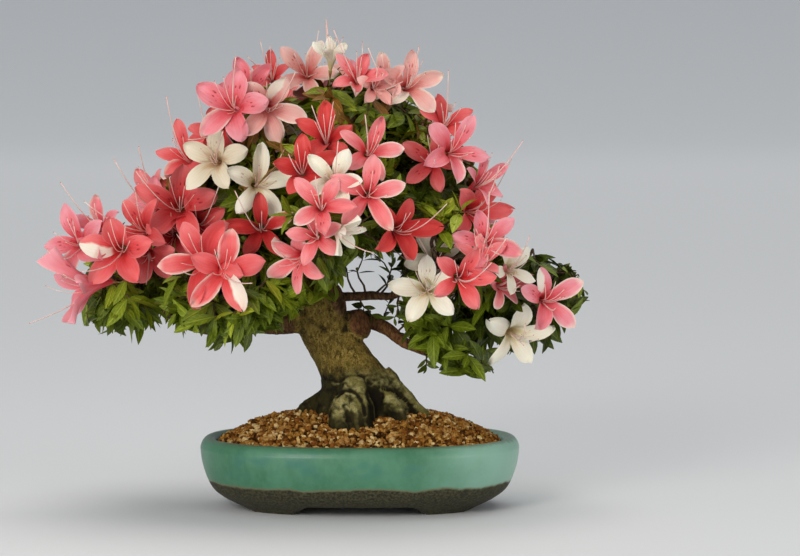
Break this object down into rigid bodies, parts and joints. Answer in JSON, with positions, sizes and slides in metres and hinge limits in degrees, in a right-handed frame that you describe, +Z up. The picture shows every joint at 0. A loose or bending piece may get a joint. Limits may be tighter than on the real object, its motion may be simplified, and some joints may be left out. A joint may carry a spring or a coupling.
{
  "type": "azalea bonsai in an oval pot",
  "caption": "Azalea bonsai in flower: a leaning trunk with spreading roots, boughs and masses of foliage, in a glazed oval pot of soil.",
  "frame": {"origin": "centre of the underside of the whole plant's box, on the surface that the pot stands on", "axes": "+Z up, +X to the right of the front view along the pot's length, +Y to the back; the front of the tree faces -Y"},
  "size_m": [0.386, 0.2552, 0.3222],
  "materials": {
    "glaze": "satin",
    "soil": "matte",
    "bark": "matte",
    "foliage": "matte"
  },
  "bodies": {
    "root": {"pot": "glaze", "soil": "soil", "trunk": "bark", "leader_bough": "bark", "left_low_bough": "bark", "right_low_bough": "bark", "left_upper_bough": "bark", "front_bough": "bark", "left_front_bough": "bark", "right_upper_bough": "bark", "right_middle_bough": "bark", "back_left_bough": "bark", "back_right_bough": "bark", "top_left_bough": "bark", "back_top_bough": "bark", "left_low_foliage": "foliage", "left_front_foliage": "foliage", "left_upper_foliage": "foliage", "top_left_foliage": "foliage", "top_foliage": "foliage", "front_foliage": "foliage", "right_upper_foliage": "foliage", "right_middle_foliage": "foliage", "right_low_foliage": "foliage", "back_left_foliage": "foliage", "back_right_foliage": "foliage", "back_top_foliage": "foliage"}
  },
  "joints": []
}
